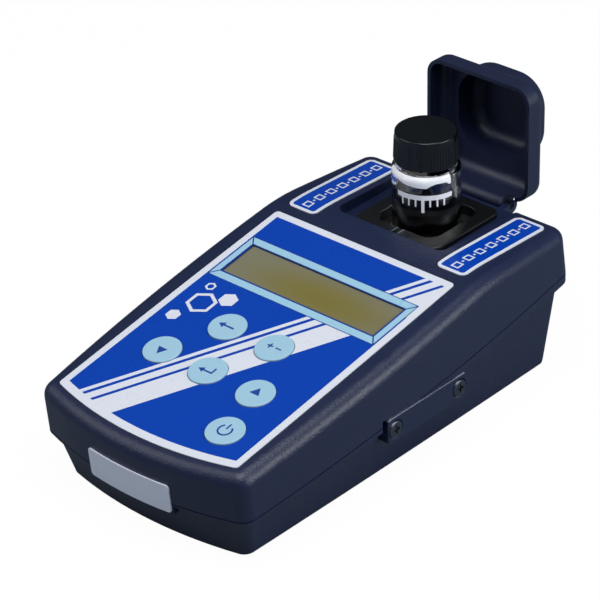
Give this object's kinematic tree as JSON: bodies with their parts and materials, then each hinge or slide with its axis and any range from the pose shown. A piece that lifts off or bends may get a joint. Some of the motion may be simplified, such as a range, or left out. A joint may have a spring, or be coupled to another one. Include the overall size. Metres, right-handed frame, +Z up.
{
  "type": "digital colorimeter",
  "caption": "Handheld bench colorimeter: wedge-shaped plastic case with an inclined keypad and display, and a capped glass vial in a measuring chamber under a hinged lid.",
  "frame": {"origin": "on the resting plane, under the middle of the outline with the lid open", "axes": "+X to the user's right, +Y from the front to the hinge, +Z up"},
  "size_m": [0.0984, 0.1981, 0.0962],
  "materials": {
    "case_plastic": "fine texture",
    "panel_print": "satin printed film",
    "label_print": "satin printed film",
    "badge_metal": "brushed and clear coated",
    "screw_steel": "plated",
    "key_plastic": "satin",
    "window_clear": "polished",
    "display_glass": "satin",
    "bezel_metal": "satin",
    "board": "solder mask",
    "black_plastic": "fine texture",
    "black_cap": "satin",
    "spring_steel": "bright",
    "vial_glass": "polished",
    "liquid": "clear",
    "liner": "plain",
    "lamp": "clear",
    "filter": "polished",
    "detector": "dark window",
    "battery_case": "printed sleeve",
    "contact_metal": "plated",
    "rubber": "plain",
    "dome_metal": "bright"
  },
  "bodies": {
    "housing": {"upper_shell": "case_plastic", "lower_shell": "case_plastic", "side_plate": "case_plastic", "side_plate_screws": "screw_steel", "case_screws": "screw_steel", "feet": "rubber", "battery_door": "case_plastic", "keypad_overlay": "panel_print", "strip_label_left": "label_print", "strip_label_right": "label_print", "front_badge": "badge_metal", "snap_domes": "dome_metal", "keypad_board": "board", "display_window": "window_clear", "display_glass": "display_glass", "display_bezel": "bezel_metal", "display_board": "board", "chamber_collar": "black_plastic", "cell_holder": "black_plastic", "light_source": "lamp", "colour_filter": "filter", "light_detector": "detector", "lamp_board": "board", "detector_board": "board", "hinge_pin": "screw_steel", "main_board": "board", "battery": "battery_case", "battery_contacts": "contact_metal"},
    "lid": {"lid": "case_plastic"},
    "lifter": {"vial_lifter": "black_plastic", "lifter_spring": "spring_steel"},
    "vial": {"vial_glass": "vial_glass", "sample_liquid": "liquid"},
    "cap": {"vial_cap": "black_cap", "cap_liner": "liner"},
    "key_upper_left": {"key_upper_left": "key_plastic"},
    "key_upper_right": {"key_upper_right": "key_plastic"},
    "key_lower_left": {"key_lower_left": "key_plastic"},
    "key_lower_middle": {"key_lower_middle": "key_plastic"},
    "key_lower_right": {"key_lower_right": "key_plastic"},
    "key_power": {"key_power": "key_plastic"}
  },
  "joints": [
    {"name": "lid_hinge", "type": "hinge", "parent": "housing", "child": "lid", "pos_m": [0, 0.0781, 0.0508], "axis": [-1, 0, 0], "range_deg": [-91, 0]},
    {"name": "lifter_slide", "type": "slide", "parent": "housing", "child": "lifter", "axis": [0, 0, 1], "range_m": [-0.0193, 0], "deforming": ["lifter_spring"]},
    {"name": "vial_lift", "type": "slide", "parent": "lifter", "child": "vial", "axis": [0, 0, 1], "range_m": [0, 0.03]},
    {"name": "cap_turn", "type": "hinge", "parent": "vial", "child": "cap", "pos_m": [0, 0.052, 0.08], "axis": [0, 0, 1], "range_deg": [0, 270]},
    {"name": "key_upper_left_press", "type": "slide", "parent": "housing", "child": "key_upper_left", "axis": [0, 0.1654, -0.9862], "range_m": [0, 0.0005], "stiffness_N_per_m": 3000, "springref_m": -0.0001},
    {"name": "key_upper_right_press", "type": "slide", "parent": "housing", "child": "key_upper_right", "axis": [0, 0.1654, -0.9862], "range_m": [0, 0.0005], "stiffness_N_per_m": 3000, "springref_m": -0.0001},
    {"name": "key_lower_left_press", "type": "slide", "parent": "housing", "child": "key_lower_left", "axis": [0, 0.1654, -0.9862], "range_m": [0, 0.0005], "stiffness_N_per_m": 3000, "springref_m": -0.0001},
    {"name": "key_lower_middle_press", "type": "slide", "parent": "housing", "child": "key_lower_middle", "axis": [0, 0.1654, -0.9862], "range_m": [0, 0.0005], "stiffness_N_per_m": 3000, "springref_m": -0.0001},
    {"name": "key_lower_right_press", "type": "slide", "parent": "housing", "child": "key_lower_right", "axis": [0, 0.1654, -0.9862], "range_m": [0, 0.0005], "stiffness_N_per_m": 3000, "springref_m": -0.0001},
    {"name": "key_power_press", "type": "slide", "parent": "housing", "child": "key_power", "axis": [0, 0.1654, -0.9862], "range_m": [0, 0.0005], "stiffness_N_per_m": 3000, "springref_m": -0.0001}
  ],
  "couplings": [
    {"joint": "lifter_slide", "follows": "lid_hinge", "m_per_rad": 0.01215}
  ]
}
